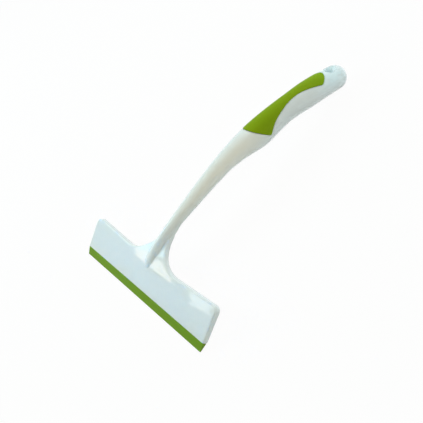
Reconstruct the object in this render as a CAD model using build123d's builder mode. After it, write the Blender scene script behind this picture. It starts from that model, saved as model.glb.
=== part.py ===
from build123d import *
import os
from bisect import bisect_right
from itertools import accumulate
from math import asin, atan2, ceil, cos, degrees, sin

# Hand window squeegee. One white moulding is head, neck and handle, a soft grip is let into the
# handle, and a rubber blade slides in a channel along the bottom edge of the head.
# Sizes are millimetres and degrees. Heights are measured up the head from its bottom edge, and
# depths back from its front face. The squeegee lies on a table with its front upwards, on the
# blade's edge and the end of the handle: X runs along the blade and Y towards the handle.

# Head plate
HEAD_WIDTH = 180.0
HEAD_END_HEIGHT = 30.8
HEAD_MIDDLE_HEIGHT = 27.2
HEAD_CORNER_RADIUS = 4.5
HEAD_THICKNESS = 5.6
LIP_THICKNESS = 4.4
FRONT_BEND_HEIGHT = 30.5
FRONT_BEND_RADIUS = 34.0
BACK_BEND_HEIGHT = 31.0
BACK_BEND_RADIUS = 30.0
FLARE_RADIUS = 29.5
FLARE_HALF_WIDTH = 8.0
PLATE_OVERLAP = 18.0
PLATE_TOP_HALF_WIDTH = 4.0
PLATE_TOP_DEPTH = 1.0
PLATE_TOP_THICKNESS = 2.9
RIM_ROUND = 1.2
LIP_CHAMFER = 0.5

# Spine that the neck and handle follow in side view
SPINE_HEIGHT = 20.0
SPINE_DEPTH = 2.5
SPINE_RUN = 4.0
NECK_BEND_RADIUS = 57.0
NECK_LEAN = 20.8
HANDLE_BEND_RADIUS = 416.0

# Cross sections along the spine: how far each is from the one before, how far it
# reaches in front of and behind the spine, and half its width where it isn't round
TIP_FRONT = 2.4
TIP_BACK = 2.0
TIP_HALF_WIDTH = 3.0
SPEAR_RUN = 6.0
SPEAR_FRONT = 4.8
SPEAR_BACK = 2.4
SPEAR_HALF_WIDTH = 4.8
RIDGE_RUN = 12.0
RIDGE_FRONT = 5.2
RIDGE_BACK = 3.2
RIDGE_HALF_WIDTH = 4.8
ROOT_RUN = 12.0
ROOT_FRONT = 5.3
ROOT_BACK = 3.9
NECK_RUN = 42.0
NECK_FRONT = 6.6
NECK_BACK = 6.9
THROAT_RUN = 46.0
THROAT_FRONT = 10.3
THROAT_BACK = 7.8
COLLAR_RUN = 20.0
COLLAR_FRONT = 11.3
COLLAR_BACK = 10.9
SWELL_RUN = 22.0
SWELL_FRONT = 11.5
SWELL_BACK = 14.8
WAIST_RUN = 35.0
WAIST_FRONT = 11.7
WAIST_BACK = 12.2
PALM_RUN = 35.0
PALM_FRONT = 12.3
PALM_BACK = 13.6
END_RUN = 38.0
END_RADIUS = 12.3
SECTION_SPACING = 10.0

# Soft grip, let into the front of the handle: distances are measured back from the end of the
# spine, and heights up from the spine
GRIP_THICKNESS = 2.2
GRIP_BOND = 0.05
GRIP_START = 119.0
GRIP_CORNER = 103.0
GRIP_CORNER_DROP = 3.3
GRIP_CORNER_ROUND = 1.5
GRIP_SWEEP = 96.0
GRIP_SWEEP_RISE = 3.2
GRIP_FLANK = 84.0
GRIP_FLANK_RISE = 7.2
GRIP_CREST = 54.0
GRIP_CREST_RISE = 10.0
GRIP_TAIL = 28.0
GRIP_TAIL_RISE = 6.3
GRIP_TAIL_ROUND = 4.0
GRIP_STOP = 17.6
PAST_SKIN = 2.0

# Hanging hole through the handle's end
HOLE_RADIUS = 4.5
HOLE_SETBACK = 7.2
HOLE_WALL = 15.0
HOLE_MOUTH_ROUND = 4.0
HOLE_MOUTH_ANGLE = 45.0

# Rubber blade and its channel in the head, which is open at the left end only
BLADE_DROP = 8.0
BLADE_TIP_THICKNESS = 1.2
BLADE_ROOT_THICKNESS = 3.0
BLADE_END_TAPER = 1.5
BLADE_WEB_THICKNESS = 1.5
BEAD_RADIUS = 1.2
BEAD_HEIGHT = 3.6
CHANNEL_END_WALL = 2.0
SLIDE_CLEARANCE = 0.15

runs = [0, SPEAR_RUN, RIDGE_RUN, ROOT_RUN, NECK_RUN, THROAT_RUN, COLLAR_RUN, SWELL_RUN, WAIST_RUN]
runs += [PALM_RUN, END_RUN]
stations = list(accumulate(runs))
spine_length = stations[-1]
handle_turn = degrees((spine_length - SPINE_RUN) / HANDLE_BEND_RADIUS)
handle_turn -= NECK_LEAN * NECK_BEND_RADIUS / HANDLE_BEND_RADIUS

# The spine in side view: x is up the head and y is out of its front face
with BuildLine() as spine:
    straight = Line((SPINE_HEIGHT, -SPINE_DEPTH), (SPINE_HEIGHT + SPINE_RUN, -SPINE_DEPTH))
    bend = JernArc(straight @ 1, straight % 1, NECK_BEND_RADIUS, -NECK_LEAN)
    JernArc(bend @ 1, bend % 1, HANDLE_BEND_RADIUS, -handle_turn)
path = spine.wire()


def beside_spine(distance, rise):
    """Side-view point at a distance along the spine, moved off it towards the front."""
    point = path.position_at(distance, position_mode=PositionMode.LENGTH)
    along = path.tangent_at(distance, position_mode=PositionMode.LENGTH)
    return point + Vector(-along.Y, along.X) * rise


# At rest the blade's back edge and the ball at the handle's end touch the table
blade_depth = LIP_THICKNESS / 2
tip_front_depth = blade_depth - BLADE_TIP_THICKNESS / 2
tip_back_depth = blade_depth + BLADE_TIP_THICKNESS / 2
spine_end = path @ 1
reach = spine_end - Vector(-BLADE_DROP, -tip_back_depth)
tilt = atan2(-reach.Y, reach.X) + asin(END_RADIUS / reach.length)
nearest_y = tip_front_depth * sin(tilt) - BLADE_DROP * cos(tilt)
farthest_y = spine_end.X * cos(tilt) - spine_end.Y * sin(tilt) + END_RADIUS
head_lift = BLADE_DROP * sin(tilt) + tip_back_depth * cos(tilt)
head_origin = (0, -(nearest_y + farthest_y) / 2, head_lift)
up_head = Axis(head_origin, (0, cos(tilt), sin(tilt)))
front_view = Plane(head_origin, x_dir=(1, 0, 0), z_dir=(0, -sin(tilt), cos(tilt)))
side_view = Plane(head_origin, x_dir=(0, cos(tilt), sin(tilt)), z_dir=(1, 0, 0))


def cross_section(distance):
    """Plane across the spine: local x runs along the blade and local y points to the front."""
    origin = side_view.from_local_coords(beside_spine(distance, 0))
    front = side_view.from_local_coords(beside_spine(distance, 1)) - origin
    return Plane(origin, x_dir=(-1, 0, 0), z_dir=front.cross(Vector(1, 0, 0)))


fronts = [TIP_FRONT, SPEAR_FRONT, RIDGE_FRONT, ROOT_FRONT, NECK_FRONT, THROAT_FRONT, COLLAR_FRONT]
fronts += [SWELL_FRONT, WAIST_FRONT, PALM_FRONT, END_RADIUS]
backs = [TIP_BACK, SPEAR_BACK, RIDGE_BACK, ROOT_BACK, NECK_BACK, THROAT_BACK, COLLAR_BACK]
backs += [SWELL_BACK, WAIST_BACK, PALM_BACK, END_RADIUS]
half_widths = [TIP_HALF_WIDTH, SPEAR_HALF_WIDTH, RIDGE_HALF_WIDTH]
round_from = len(half_widths)
half_widths += [(front + back) / 2 for front, back in zip(fronts[round_from:], backs[round_from:])]


def smooth_value(distance, values):
    """Value at a distance along the spine, on a smooth curve through the values at the stations."""
    last = len(stations) - 1
    before = min(bisect_right(stations, distance), last) - 1
    after = before + 1
    span = stations[after] - stations[before]

    def slope(station):
        low = max(station - 1, 0)
        high = min(station + 1, last)
        return span * (values[high] - values[low]) / (stations[high] - stations[low])

    t = (distance - stations[before]) / span
    rise = values[after] - values[before]
    bow = (1 - t) * (slope(before) - rise) + t * (rise - slope(after))
    return values[before] + t * rise + t * (1 - t) * bow


def lofted(first, inset=0):
    """Solid along the spine from a distance to its end, drawn in by an inset all round."""
    count = ceil((spine_length - first) / SECTION_SPACING)
    with BuildPart() as solid:
        for step in range(count + 1):
            distance = first + (spine_length - first) * step / count
            front = smooth_value(distance, fronts)
            back = smooth_value(distance, backs)
            half_depth = (front + back) / 2
            half_width = max(smooth_value(distance, half_widths), half_depth)
            with BuildSketch(cross_section(distance)):
                with Locations((0, (front - back) / 2)):
                    Ellipse(half_width - inset, half_depth - inset)
        loft()
    return solid.part


root_at = SPEAR_RUN + RIDGE_RUN + ROOT_RUN
throat_at = root_at + NECK_RUN + THROAT_RUN
handle_form = lofted(0)
grip_seat = lofted(throat_at, GRIP_THICKNESS)
grip_bed = lofted(throat_at, GRIP_THICKNESS - GRIP_BOND)

# Head plate: its side profile, trimmed to its front outline
plate_end = root_at + PLATE_OVERLAP
plate_top = beside_spine(plate_end, -PLATE_TOP_DEPTH)
outline_top = plate_top.X + HEAD_THICKNESS
front_bend = (FRONT_BEND_HEIGHT, 0)
back_bend = (BACK_BEND_HEIGHT, -HEAD_THICKNESS)


def faces_forward(face):
    """True for a face that points more to the front than to the side."""
    return face.normal_at().get_angle(front_view.z_dir) < 45


def beside_neck(edge):
    """True for an edge whose middle lies to one side of the neck."""
    return abs((edge @ 0.5).X) > PLATE_TOP_HALF_WIDTH


with BuildPart() as plate:
    with BuildSketch(side_view):
        with BuildLine():
            Polyline(
                (0, 0),
                front_bend,
                plate_top,
                beside_spine(plate_end, -PLATE_TOP_DEPTH - PLATE_TOP_THICKNESS),
                back_bend,
                (0, -LIP_THICKNESS),
                close=True,
            )
        make_face()
        fillet(vertices().sort_by_distance(front_bend)[0], FRONT_BEND_RADIUS)
        fillet(vertices().sort_by_distance(back_bend)[0], BACK_BEND_RADIUS)
    extrude(amount=HEAD_WIDTH / 2, both=True)
    with BuildSketch(front_view):
        half_head = HEAD_WIDTH / 2
        with BuildLine():
            Polyline(
                (0, 0),
                (half_head, 0),
                (half_head, HEAD_END_HEIGHT),
                (FLARE_HALF_WIDTH, HEAD_MIDDLE_HEIGHT),
                (PLATE_TOP_HALF_WIDTH, outline_top),
                (0, outline_top),
            )
            mirror(about=Plane.YZ)
        make_face()
        for side in (-1, 1):
            corner = (side * half_head, HEAD_END_HEIGHT)
            crook = (side * FLARE_HALF_WIDTH, HEAD_MIDDLE_HEIGHT)
            fillet(vertices().sort_by_distance(corner)[0], HEAD_CORNER_RADIUS)
            fillet(vertices().sort_by_distance(crook)[0], FLARE_RADIUS)
    extrude(amount=HEAD_WIDTH, both=True, mode=Mode.INTERSECT)
    rim = faces().filter_by(faces_forward).edges().filter_by(beside_neck)
    fillet(rim, RIM_ROUND)
    chamfer(edges().filter_by(Axis.X).group_by(up_head)[0], LIP_CHAMFER)


def grip_outline(gap):
    """Soft grip's side-view outline, drawn in by a gap and carried well past the handle's skin."""
    low_corner = beside_spine(spine_length - GRIP_CORNER, 2 * gap - GRIP_CORNER_DROP)
    low_ridge = beside_spine(spine_length - GRIP_START + gap, gap + COLLAR_FRONT)
    sweep = beside_spine(spine_length - GRIP_SWEEP - gap, gap + GRIP_SWEEP_RISE)
    flank = beside_spine(spine_length - GRIP_FLANK - gap, gap + GRIP_FLANK_RISE)
    crest = beside_spine(spine_length - GRIP_CREST - gap, gap + GRIP_CREST_RISE)
    tail = beside_spine(spine_length - GRIP_TAIL - gap, gap + GRIP_TAIL_RISE)
    end_ridge = beside_spine(spine_length - GRIP_STOP - gap, gap + END_RADIUS)
    with BuildSketch() as outline:
        with BuildLine():
            low_edge = Line(low_corner + (low_ridge - low_corner) * PAST_SKIN, low_corner)
            Spline(low_corner, sweep, flank, crest, tail)
            end_edge = Line(tail, tail + (end_ridge - tail) * PAST_SKIN)
            Line(end_edge @ 1, low_edge @ 0)
        make_face()
        for corner, rounding in ((low_corner, GRIP_CORNER_ROUND), (tail, GRIP_TAIL_ROUND)):
            fillet(vertices().sort_by_distance(corner)[0], rounding - gap)
    return outline.sketch


# White moulding: plate, neck, handle and its ball end in one
with BuildPart(cross_section(spine_length)) as ball_end:
    Sphere(END_RADIUS, arc_size1=0, align=(Align.CENTER, Align.CENTER, Align.MIN))

with BuildPart() as grip_pocket:
    with BuildSketch(side_view):
        add(grip_outline(0))
    extrude(amount=HEAD_WIDTH / 2, both=True)
    add(grip_seat, mode=Mode.SUBTRACT)

# Profile of the hanging hole, with x out from its axis and y along it
hole_plane = cross_section(spine_length - HOLE_SETBACK)
hole_axis = Axis(hole_plane.origin, hole_plane.y_dir)
with BuildPart() as hanging_hole:
    with BuildSketch(Plane(hole_plane.origin, x_dir=hole_plane.x_dir, z_dir=-hole_plane.z_dir)):
        with BuildLine():
            wall = Line((HOLE_RADIUS, 0), (HOLE_RADIUS, HOLE_WALL / 2))
            mouth = JernArc(wall @ 1, wall % 1, HOLE_MOUTH_ROUND, -HOLE_MOUTH_ANGLE)
            flare = Line(mouth @ 1, mouth @ 1 + (mouth % 1) * END_RADIUS)
            Polyline(flare @ 1, (0, (flare @ 1).Y), (0, 0), wall @ 0)
        make_face()
        mirror(about=Plane.XZ)
    revolve(axis=hole_axis)

channel_stop = half_head - CHANNEL_END_WALL
with BuildPart() as handle_and_head:
    add(plate.part)
    add(handle_form)
    add(ball_end.part)
    add(grip_pocket.part, mode=Mode.SUBTRACT)
    add(hanging_hole.part, mode=Mode.SUBTRACT)
    with BuildSketch(side_view.offset(channel_stop)):
        with Locations((BEAD_HEIGHT, -blade_depth)):
            Circle(BEAD_RADIUS + SLIDE_CLEARANCE)
        with Locations((BEAD_HEIGHT / 2, -blade_depth)):
            Rectangle(BEAD_HEIGHT, BLADE_WEB_THICKNESS + 2 * SLIDE_CLEARANCE)
    extrude(amount=-HEAD_WIDTH, mode=Mode.SUBTRACT)
handle_and_head.part.label = "handle_and_head"

# Soft grip: fills its pocket up to the skin of the handle
with BuildPart() as soft_grip:
    with BuildSketch(side_view):
        add(grip_outline(GRIP_BOND))
    extrude(amount=HEAD_WIDTH / 2, both=True)
    add(handle_form, mode=Mode.INTERSECT)
    add(grip_bed, mode=Mode.SUBTRACT)
soft_grip.part.label = "soft_grip"

# Rubber blade: a tapered lip whose ends draw in to its edge, on a web with a bead
bead_stop = channel_stop - SLIDE_CLEARANCE
with BuildPart() as rubber_blade:
    with BuildSketch(side_view):
        with BuildLine():
            Polyline(
                (-BLADE_DROP, -tip_front_depth),
                (-SLIDE_CLEARANCE, -blade_depth + BLADE_ROOT_THICKNESS / 2),
                (-SLIDE_CLEARANCE, -blade_depth - BLADE_ROOT_THICKNESS / 2),
                (-BLADE_DROP, -tip_back_depth),
                close=True,
            )
        make_face()
    extrude(amount=half_head, both=True)
    with BuildSketch(front_view):
        with BuildLine():
            Polyline(
                (-half_head + BLADE_END_TAPER, -BLADE_DROP),
                (-half_head, 0),
                (half_head, 0),
                (half_head - BLADE_END_TAPER, -BLADE_DROP),
                close=True,
            )
        make_face()
    extrude(amount=HEAD_WIDTH, both=True, mode=Mode.INTERSECT)
    with BuildSketch(side_view.offset(bead_stop)):
        with Locations((BEAD_HEIGHT, -blade_depth)):
            Circle(BEAD_RADIUS)
        with Locations((BEAD_HEIGHT / 2, -blade_depth)):
            Rectangle(BEAD_HEIGHT + 2 * SLIDE_CLEARANCE, BLADE_WEB_THICKNESS)
    extrude(amount=-bead_stop - half_head)
rubber_blade.part.label = "rubber_blade"

os.makedirs("parts", exist_ok=True)
for piece in (handle_and_head, soft_grip, rubber_blade):
    export_step(piece.part, f"parts/{piece.part.label}.step")

# Where the hanging hole lies
print("hole centre", hole_plane.origin, "axis", hole_plane.y_dir)
print("tilt", degrees(tilt), "head origin", head_origin)
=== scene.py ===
# %% [markdown]
# # A window squeegee
# A small household squeegee comes apart into three pieces: one glossy white moulding that is head, neck
# and handle in one, a lime green grip of soft rubber let into the handle, and a green rubber blade in a
# channel along the head. The imported model holds all three at their real size, in metres, so nothing is
# placed by eye here. This lesson sets up the camera, mixes the three finishes, rounds the edges that a
# mould rounds, and lights the scene.

# %% load the frame
import bpy
import bmesh
from math import ceil, radians
from mathutils import Matrix, Vector
from mathutils.bvhtree import BVHTree
from mathutils.geometry import barycentric_transform
from mathutils.kdtree import KDTree


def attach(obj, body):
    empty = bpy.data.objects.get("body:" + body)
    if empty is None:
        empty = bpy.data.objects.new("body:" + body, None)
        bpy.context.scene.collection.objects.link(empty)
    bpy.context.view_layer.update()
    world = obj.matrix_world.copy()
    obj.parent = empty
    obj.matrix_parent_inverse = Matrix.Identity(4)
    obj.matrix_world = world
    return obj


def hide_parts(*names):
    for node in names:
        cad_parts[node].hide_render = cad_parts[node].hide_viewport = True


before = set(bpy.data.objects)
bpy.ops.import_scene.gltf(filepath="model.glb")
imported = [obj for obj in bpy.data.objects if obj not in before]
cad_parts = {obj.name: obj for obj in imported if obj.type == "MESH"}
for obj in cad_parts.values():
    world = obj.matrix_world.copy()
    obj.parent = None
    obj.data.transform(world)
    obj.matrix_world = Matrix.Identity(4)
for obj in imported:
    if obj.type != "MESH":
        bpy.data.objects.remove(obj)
scene = bpy.context.scene
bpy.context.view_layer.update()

# %% [markdown]
# ## The camera
# The photograph looks down on the squeegee from the front right, with the camera tilted so that the
# handle runs up the picture. A camera can be placed by its eye point, but a target on the table, a
# distance and three angles are easier to read and to change. The azimuth is counted from the front, the
# elevation from the table, and the roll turns the camera about its own line of sight. The lens follows
# from the focal length of the fitted view in picture widths.

# %% camera
TARGET = Vector((-0.00726, -0.04503, 0.0))
DISTANCE = 0.5153
AZIMUTH = radians(70.815)
ELEVATION = radians(44.515)
ROLL = radians(32.732)
FOCAL_WIDTHS = 1.3002
RIGHT_ANGLE = radians(90)


def looking_at(target, azimuth, elevation, distance, roll):
    turned = Matrix.Rotation(azimuth, 4, "Z") @ Matrix.Rotation(RIGHT_ANGLE - elevation, 4, "X")
    rolled = turned @ Matrix.Rotation(roll, 4, "Z")
    return Matrix.Translation(target) @ rolled @ Matrix.Translation((0, 0, distance))


camera = bpy.data.objects.new("camera", bpy.data.cameras.new("camera"))
scene.collection.objects.link(camera)
camera.data.lens = camera.data.sensor_width * FOCAL_WIDTHS
camera.matrix_world = looking_at(TARGET, AZIMUTH, ELEVATION, DISTANCE, -ROLL)
scene.camera = camera
print("camera at", [round(value, 4) for value in camera.matrix_world.translation])

# %% [markdown]
# ## Finishes
# Every finish starts from the same shader, with one colour, one roughness and one gloss that hold all
# over. What makes it a material rather than a paint is the small unevenness on top: a noise that makes
# the surface a little duller in places, and a bump at the scale of the real surface. Both read Object
# coordinates, which are metres on the piece, so a grain of a third of a millimetre is that size on every
# side and stays put when the piece moves.

# %% shared start of a finish
def new_finish(name, colour, roughness, gloss):
    finish = bpy.data.materials.new(name)
    finish.use_nodes = True
    shader = finish.node_tree.nodes["Principled BSDF"]
    shader.inputs["Base Color"].default_value = (*colour, 1)
    shader.inputs["Roughness"].default_value = roughness
    shader.inputs["Specular IOR Level"].default_value = gloss
    return finish, shader


# %% unevenness of a finish
def add_noise(finish, size, stretch=(1, 1, 1), detail=3):
    tree = finish.node_tree
    place = tree.nodes.new("ShaderNodeTexCoord")
    mapping = tree.nodes.new("ShaderNodeMapping")
    mapping.inputs["Scale"].default_value = stretch
    noise = tree.nodes.new("ShaderNodeTexNoise")
    noise.inputs["Scale"].default_value = 1 / size
    noise.inputs["Detail"].default_value = detail
    tree.links.new(place.outputs["Object"], mapping.inputs["Vector"])
    tree.links.new(mapping.outputs["Vector"], noise.inputs["Vector"])
    return noise.outputs["Fac"]


def add_range(finish, value, low, high):
    span = finish.node_tree.nodes.new("ShaderNodeMapRange")
    span.inputs["To Min"].default_value = low
    span.inputs["To Max"].default_value = high
    finish.node_tree.links.new(value, span.inputs["Value"])
    return span.outputs["Result"]


def add_bump(finish, value, height):
    bump = finish.node_tree.nodes.new("ShaderNodeBump")
    bump.inputs["Strength"].default_value = 1
    bump.inputs["Distance"].default_value = height
    finish.node_tree.links.new(value, bump.inputs["Height"])
    return bump.outputs["Normal"]


def add_tones(finish, value, darker, lighter):
    ramp = finish.node_tree.nodes.new("ShaderNodeValToRGB")
    ramp.color_ramp.elements[0].color = (*darker, 1)
    ramp.color_ramp.elements[1].color = (*lighter, 1)
    finish.node_tree.links.new(value, ramp.inputs["Fac"])
    return ramp.outputs["Color"]


# %% [markdown]
# ## White plastic
# The moulding is cool white polypropylene from a polished mould. It is glossy, but never a perfect
# mirror: the skin sinks in slow, very shallow waves where the plastic shrank behind it, and handling
# leaves patches that are a little duller. Two noises do this, one of about 20 mm for the waves and one
# of a few millimetres for the dull patches. The plastic also lets a little light in and out again, which
# softens the shade on its thin flares and in the hole, so a share of its colour is scattered below the
# surface.

# %% white plastic
WHITE = (0.785, 0.83, 0.865)
WHITE_SHADE = (0.77, 0.815, 0.85)
WHITE_ROUGHNESS = 0.03
WHITE_GLOSS = 0.5
WAVE_SIZE = 0.02
WAVE_HEIGHT = 0.000004
SCUFF_SIZE = 0.003
SCUFF_ROUGHNESS = (0.02, 0.045)
SCATTER_SHARE = 0.3
SCATTER_DEPTH = 0.003

white_plastic, white_shader = new_finish("white_plastic", WHITE, WHITE_ROUGHNESS, WHITE_GLOSS)
waves = add_noise(white_plastic, WAVE_SIZE, detail=1)
scuffs = add_noise(white_plastic, SCUFF_SIZE)
links = white_plastic.node_tree.links
links.new(add_tones(white_plastic, waves, WHITE_SHADE, WHITE), white_shader.inputs["Base Color"])
links.new(add_range(white_plastic, scuffs, *SCUFF_ROUGHNESS), white_shader.inputs["Roughness"])
links.new(add_bump(white_plastic, waves, WAVE_HEIGHT), white_shader.inputs["Normal"])
white_shader.inputs["Subsurface Weight"].default_value = SCATTER_SHARE
white_shader.inputs["Subsurface Radius"].default_value = (1, 1, 1)
white_shader.inputs["Subsurface Scale"].default_value = SCATTER_DEPTH
print("finish made:", white_plastic.name)

# %% [markdown]
# ## Grip rubber
# The grip is a thermoplastic rubber, matt to satin, with the fine grain that a spark-eroded mould
# leaves. The grain is a third of a millimetre wide and a few hundredths high, and a slower noise varies
# the green a little.

# %% grip rubber
GRIP_GREEN = (0.225, 0.345, 0.006)
GRIP_GREEN_SHADE = (0.21, 0.325, 0.005)
GRIP_ROUGHNESS = 0.6
GRIP_GLOSS = 0.1
GRAIN_SIZE = 0.00035
GRAIN_HEIGHT = 0.00003
GRAIN_ROUGHNESS = (0.52, 0.7)
CLOUD_SIZE = 0.006

grip_rubber, grip_shader = new_finish("grip_rubber", GRIP_GREEN, GRIP_ROUGHNESS, GRIP_GLOSS)
grain = add_noise(grip_rubber, GRAIN_SIZE, detail=2)
cloud = add_noise(grip_rubber, CLOUD_SIZE)
links = grip_rubber.node_tree.links
links.new(add_tones(grip_rubber, cloud, GRIP_GREEN_SHADE, GRIP_GREEN), grip_shader.inputs["Base Color"])
links.new(add_range(grip_rubber, grain, *GRAIN_ROUGHNESS), grip_shader.inputs["Roughness"])
links.new(add_bump(grip_rubber, grain, GRAIN_HEIGHT), grip_shader.inputs["Normal"])
print("finish made:", grip_rubber.name)

# %% [markdown]
# ## Blade rubber
# The blade is an extruded strip, so the die leaves fine lines that run along it. The noise is stretched
# along X, the blade's length, so that each line is a few centimetres long and a fraction of a millimetre
# wide.

# %% blade rubber
BLADE_GREEN = (0.17, 0.305, 0.012)
BLADE_GREEN_SHADE = (0.155, 0.285, 0.01)
BLADE_ROUGHNESS = 0.5
BLADE_GLOSS = 0.15
LINE_WIDTH = 0.0006
LINE_STRETCH = (0.02, 1, 1)
LINE_HEIGHT = 0.00002
LINE_ROUGHNESS = (0.42, 0.58)

blade_rubber, blade_shader = new_finish("blade_rubber", BLADE_GREEN, BLADE_ROUGHNESS, BLADE_GLOSS)
die_lines = add_noise(blade_rubber, LINE_WIDTH, stretch=LINE_STRETCH)
blade_tones = add_tones(blade_rubber, die_lines, BLADE_GREEN_SHADE, BLADE_GREEN)
links = blade_rubber.node_tree.links
links.new(blade_tones, blade_shader.inputs["Base Color"])
links.new(add_range(blade_rubber, die_lines, *LINE_ROUGHNESS), blade_shader.inputs["Roughness"])
links.new(add_bump(blade_rubber, die_lines, LINE_HEIGHT), blade_shader.inputs["Normal"])
print("finish made:", blade_rubber.name)

# %% [markdown]
# ## Edges that stay crisp
# On the real moulding most edges are slightly round, because a mould cuts no sharp outside corner and
# fills no sharp inside one. The outside edges of the head are the exception: its lip, its ends and its
# back edge look crisp in the photograph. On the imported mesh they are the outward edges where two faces
# meet at more than 30 degrees. A row of marks along each of them remembers where it runs, so that the
# softening further on can leave it in place.

# %% crisp edges
HEAD_END = -0.09
SHARP = radians(30)
MARK_SPACING = 0.0002


def crisp_marks(net):
    places = []
    for edge in net.edges:
        start, stop = [vertex.co for vertex in edge.verts]
        if max(start.y, stop.y) < HEAD_END and edge.is_convex and edge.calc_face_angle(0) > SHARP:
            count = ceil(edge.calc_length() / MARK_SPACING)
            places += [start.lerp(stop, step / count) for step in range(count + 1)]
    marks = KDTree(len(places))
    for number, place in enumerate(places):
        marks.insert(place, number)
    marks.balance()
    print(len(places), "marks on crisp edges")
    return marks


# %% [markdown]
# ## An even net
# Bevelling the many edges of a lofted form one by one is slow and fragile. A voxel remesh turns a copy of
# the form into an even net of small quads instead, which can be rounded everywhere in the same way. The
# copy is merged first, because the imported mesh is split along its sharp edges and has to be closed.

# %% even net
MERGE_DISTANCE = 1e-6


def merged_copy(packed):
    net = bmesh.new()
    net.from_mesh(packed)
    bmesh.ops.remove_doubles(net, verts=net.verts, dist=MERGE_DISTANCE)
    return net


def even_net(net, name, voxel):
    mesh = bpy.data.meshes.new(name)
    net.to_mesh(mesh)
    net.free()
    piece = bpy.data.objects.new(name, mesh)
    scene.collection.objects.link(piece)
    remesh = piece.modifiers.new("even_net", "REMESH")
    remesh.mode = "VOXEL"
    remesh.voxel_size = voxel
    graph = bpy.context.evaluated_depsgraph_get()
    piece.data = bpy.data.meshes.new_from_object(piece.evaluated_get(graph))
    piece.modifiers.clear()
    return piece


# %% [markdown]
# ## Softened edges
# A few rounds of smoothing pull the net round at every edge and leave the broad faces where they are.
# Points of the net near a crisp mark are moved onto it and held there. The head gets fewer rounds than
# the neck and the handle, where the rim of the recess for the grip needs more before it runs clean.
# Points that met on a mark are merged at the end, and the faces that this has flattened are dissolved.

# %% rounds of smoothing
SMOOTHING = 0.5
SNAP_VOXELS = 0.85
FLAT_DISTANCE = 0.00003


def smooth(net, vertices, rounds):
    for turn in range(rounds):
        bmesh.ops.smooth_vert(
            net, verts=vertices, factor=SMOOTHING, use_axis_x=True, use_axis_y=True, use_axis_z=True
        )


def pin_to_marks(net, marks, reach):
    free = []
    for vertex in net.verts:
        place, number, gap = marks.find(vertex.co)
        if gap is not None and gap < reach:
            vertex.co = place
        else:
            free.append(vertex)
    print(len(net.verts) - len(free), "points stay on crisp edges")
    return free


def soften(mesh, marks, voxel, head_rounds, handle_rounds):
    net = bmesh.new()
    net.from_mesh(mesh)
    free = pin_to_marks(net, marks, SNAP_VOXELS * voxel)
    smooth(net, free, head_rounds)
    smooth(net, [vertex for vertex in free if vertex.co.y > HEAD_END], handle_rounds - head_rounds)
    bmesh.ops.remove_doubles(net, verts=net.verts, dist=MERGE_DISTANCE)
    bmesh.ops.dissolve_degenerate(net, edges=net.edges, dist=FLAT_DISTANCE)
    for face in net.faces:
        face.smooth = True
    net.to_mesh(mesh)
    net.free()


# %% [markdown]
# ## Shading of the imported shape
# A net of small quads follows a bent form in tiny steps, which a glossy finish would show as ripples.
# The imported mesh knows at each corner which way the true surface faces, so the net can borrow that: the
# nearest triangle is looked up, and the directions at its corners are blended for that place. Where the
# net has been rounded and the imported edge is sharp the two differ, and there the net keeps its own
# direction. Between 25 and 40 degrees one fades into the other.

# %% true shading
AGREE = radians(25)
DIFFER = radians(40)


def shade_as_packed(mesh, packed):
    packed.calc_loop_triangles()
    corners = [vertex.co for vertex in packed.vertices]
    triangles = packed.loop_triangles
    surface = BVHTree.FromPolygons(corners, [triangle.vertices for triangle in triangles])
    normals = []
    for vertex in mesh.vertices:
        place, facing, number, gap = surface.find_nearest(vertex.co)
        ends = [corners[corner] for corner in triangles[number].vertices]
        shades = [packed.corner_normals[loop].vector for loop in triangles[number].loops]
        true_normal = barycentric_transform(place, *ends, *shades).normalized()
        apart = true_normal.angle(vertex.normal, DIFFER)
        share = min(max((DIFFER - apart) / (DIFFER - AGREE), 0), 1)
        normals.append(vertex.normal.lerp(true_normal, share).normalized())
    mesh.normals_split_custom_set_from_vertices(normals)


# %% [markdown]
# ## The three pieces
# The moulding and the grip are softened copies. The grip's net is finer, because its outline is what the
# eye follows on the handle. The blade is cut square on the real tool too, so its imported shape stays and
# only gets its finish.

# %% softened piece
def softened(node, body, finish, voxel, head_rounds, handle_rounds):
    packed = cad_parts[node].data
    net = merged_copy(packed)
    marks = crisp_marks(net)
    piece = even_net(net, node + "_soft", voxel)
    soften(piece.data, marks, voxel, head_rounds, handle_rounds)
    shade_as_packed(piece.data, packed)
    piece.data.materials.clear()
    piece.data.materials.append(finish)
    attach(piece, body)
    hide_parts(node)
    print(piece.name, "has", len(piece.data.polygons), "faces")


# %% moulding
MOULDING_VOXEL = 0.0007
HEAD_ROUNDS = 3
HANDLE_ROUNDS = 9

softened(
    "handle_and_head", "handle", white_plastic,
    voxel=MOULDING_VOXEL, head_rounds=HEAD_ROUNDS, handle_rounds=HANDLE_ROUNDS,
)

# %% grip
GRIP_VOXEL = 0.00035
GRIP_ROUNDS = 10

softened(
    "soft_grip", "handle", grip_rubber,
    voxel=GRIP_VOXEL, head_rounds=GRIP_ROUNDS, handle_rounds=GRIP_ROUNDS,
)

# %% blade
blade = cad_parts["rubber_blade"]
blade.data.materials.clear()
blade.data.materials.append(blade_rubber)
print("blade keeps its packed mesh:", len(blade.data.polygons), "faces")

# %% [markdown]
# ## Floor and backdrop
# The photograph has a plain white ground. A floor lit to white would also throw too much light back on
# the squeegee, so the floor is a pale matt sheet that the camera, and anything glossy, mostly sees as
# white light of strength 1. The rest of what they see is the lit sheet itself, which keeps the shadow.
# The same is done for the sky, which lights the object dimly and warmly but is white where it is seen.

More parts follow.
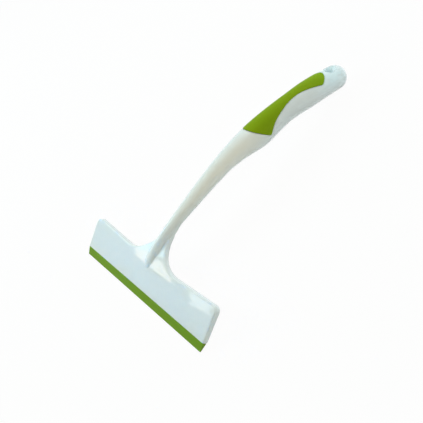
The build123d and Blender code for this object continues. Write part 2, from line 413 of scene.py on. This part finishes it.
# %% what is seen
def seen_share(tree, share):
    path = tree.nodes.new("ShaderNodeLightPath")
    seen = path.outputs["Is Camera Ray"]
    for ray in ("Is Glossy Ray", "Is Transmission Ray"):
        both = tree.nodes.new("ShaderNodeMath")
        both.operation = "MAXIMUM"
        tree.links.new(seen, both.inputs[0])
        tree.links.new(path.outputs[ray], both.inputs[1])
        seen = both.outputs[0]
    part = tree.nodes.new("ShaderNodeMath")
    part.operation = "MULTIPLY"
    part.inputs[1].default_value = share
    tree.links.new(seen, part.inputs[0])
    return part.outputs[0]


# %% floor
FLOOR_HALF = 3.0
FLOOR_TONE = (0.85, 0.85, 0.85)
FLOOR_ROUGHNESS = 0.9
FLOOR_GLOSS = 0.2
GLOW_SHARE = 0.95

sheet = bmesh.new()
bmesh.ops.create_grid(sheet, x_segments=1, y_segments=1, size=FLOOR_HALF)
floor_mesh = bpy.data.meshes.new("floor")
sheet.to_mesh(floor_mesh)
sheet.free()
floor = bpy.data.objects.new("floor", floor_mesh)
scene.collection.objects.link(floor)

floor_finish, floor_shader = new_finish("floor_sheet", FLOOR_TONE, FLOOR_ROUGHNESS, FLOOR_GLOSS)
tree = floor_finish.node_tree
glow = tree.nodes.new("ShaderNodeEmission")
mix = tree.nodes.new("ShaderNodeMixShader")
tree.links.new(seen_share(tree, GLOW_SHARE), mix.inputs["Fac"])
tree.links.new(floor_shader.outputs["BSDF"], mix.inputs[1])
tree.links.new(glow.outputs["Emission"], mix.inputs[2])
tree.links.new(mix.outputs["Shader"], tree.nodes["Material Output"].inputs["Surface"])
floor_mesh.materials.append(floor_finish)
print("floor is", 2 * FLOOR_HALF, "m wide")

# %% sky
SKY_TONE = (1.0, 1.0, 0.8)
SKY_STRENGTH = 0.09

sky = bpy.data.worlds.new("sky")
scene.world = sky
sky.use_nodes = True
tree = sky.node_tree
dim = tree.nodes["Background"]
dim.inputs["Color"].default_value = (*SKY_TONE, 1)
dim.inputs["Strength"].default_value = SKY_STRENGTH
plain = tree.nodes.new("ShaderNodeBackground")
plain.inputs["Color"].default_value = (1, 1, 1, 1)
mix = tree.nodes.new("ShaderNodeMixShader")
tree.links.new(seen_share(tree, share=1), mix.inputs["Fac"])
tree.links.new(dim.outputs["Background"], mix.inputs[1])
tree.links.new(plain.outputs["Background"], mix.inputs[2])
tree.links.new(mix.outputs["Shader"], tree.nodes["World Output"].inputs["Surface"])
print("sky lights with strength", SKY_STRENGTH)

# %% [markdown]
# ## Soft light
# In the photograph cool daylight comes from the front left, and there is more soft light behind the
# handle. Four broad softboxes about a metre away stand in for them: the window, two behind the handle,
# and one high on the right that fills the shade. They are kept out of the gloss, because the photograph
# shows no mirrored edge of theirs. Azimuth and elevation are counted as for the camera, in degrees.

# %% fill lights
PIECE_MIDDLE = Vector((0.0, -0.03, 0.02))
FILL_DISTANCE = 1.1
BROAD = (1.1, 0.7)
SQUARE = (0.7, 0.7)
OPEN_BEAM = 180


def softbox(
    name, aim, azimuth, elevation, distance, size, power, colour, mirrored=False, lean=0, beam=OPEN_BEAM
):
    lamp = bpy.data.lights.new(name, "AREA")
    lamp.shape = "RECTANGLE"
    lamp.size, lamp.size_y = size
    lamp.energy = power
    lamp.color = colour
    lamp.spread = radians(beam)
    stand = bpy.data.objects.new(name, lamp)
    stand.matrix_world = looking_at(aim, radians(azimuth), radians(elevation), distance, radians(lean))
    stand.visible_glossy = mirrored
    scene.collection.objects.link(stand)
    print(name, "light", power, "W")


softbox(
    "window", PIECE_MIDDLE, azimuth=306, elevation=38, distance=FILL_DISTANCE,
    size=BROAD, power=6.2, colour=(0.68, 0.86, 0.87),
)
softbox(
    "rear_left", PIECE_MIDDLE, azimuth=216, elevation=38, distance=FILL_DISTANCE,
    size=SQUARE, power=3.7, colour=(0.86, 1.0, 0.97),
)
softbox(
    "rear_low", PIECE_MIDDLE, azimuth=165, elevation=12, distance=FILL_DISTANCE,
    size=BROAD, power=6.9, colour=(0.92, 0.98, 1.0),
)
softbox(
    "right_high", PIECE_MIDDLE, azimuth=62, elevation=60, distance=FILL_DISTANCE,
    size=SQUARE, power=3.75, colour=(0.98, 1.0, 0.78),
)

# %% [markdown]
# ## Window panes
# Bright panes of the window are mirrored on the bent parts of the head, on the flares beside the neck and
# near the right end. The broad lights are kept out of the gloss, so three small softboxes are the panes,
# and only they are seen in it. Each is turned and sized for the patch that it makes.

# %% panes
HEAD_MIDDLE = Vector((0.0, -0.11, 0.03))

softbox(
    "pane_sky", HEAD_MIDDLE, azimuth=286.1, elevation=37.0, distance=1.084,
    size=(0.205, 0.5), power=1.5, colour=(0.53, 0.87, 1.0), mirrored=True, lean=46,
)
softbox(
    "pane_left", HEAD_MIDDLE, azimuth=305.8, elevation=31.1, distance=1.005,
    size=(0.125, 0.415), power=0.72, colour=(1.0, 0.81, 0.69), mirrored=True, lean=34,
)
softbox(
    "pane_right", HEAD_MIDDLE, azimuth=315.9, elevation=34.9, distance=1.006,
    size=(0.069, 0.502), power=0.42, colour=(0.93, 0.96, 1.0), mirrored=True, lean=28,
)

# %% [markdown]
# ## Tinted strips
# In the photograph the plate of the head and the end of the handle are tinted blue, and the neck is
# tinted cream. It is all one plastic, so the tints are made by light and not by paint: three faint strips
# with a narrow beam, on the plate, the neck and the handle's end, add them.

# %% strips
FACE_MIDDLE = Vector((0.0, -0.125, 0.02))
NECK_MIDDLE = Vector((0.0, -0.035, 0.045))
END_MIDDLE = Vector((0.0, 0.13, 0.02))
STRIP_DISTANCE = 0.6
NARROW_BEAM = 4

softbox(
    "head_strip", FACE_MIDDLE, azimuth=0, elevation=56, distance=STRIP_DISTANCE,
    size=(0.26, 0.05), power=0.0065, colour=(0.1, 0.4, 1.0), beam=NARROW_BEAM,
)
softbox(
    "neck_strip", NECK_MIDDLE, azimuth=78, elevation=45, distance=STRIP_DISTANCE,
    size=(0.12, 0.03), power=0.0016, colour=(1.0, 0.55, 0.05), beam=NARROW_BEAM,
)
softbox(
    "end_strip", END_MIDDLE, azimuth=75, elevation=52, distance=STRIP_DISTANCE,
    size=(0.03, 0.03), power=0.0006, colour=(0.1, 0.8, 1.0), beam=NARROW_BEAM,
)

# %% [markdown]
# ## The view
# The picture uses the plain Standard view, so that a colour comes out as it is written.

# %% finish
scene.view_settings.view_transform = "Standard"
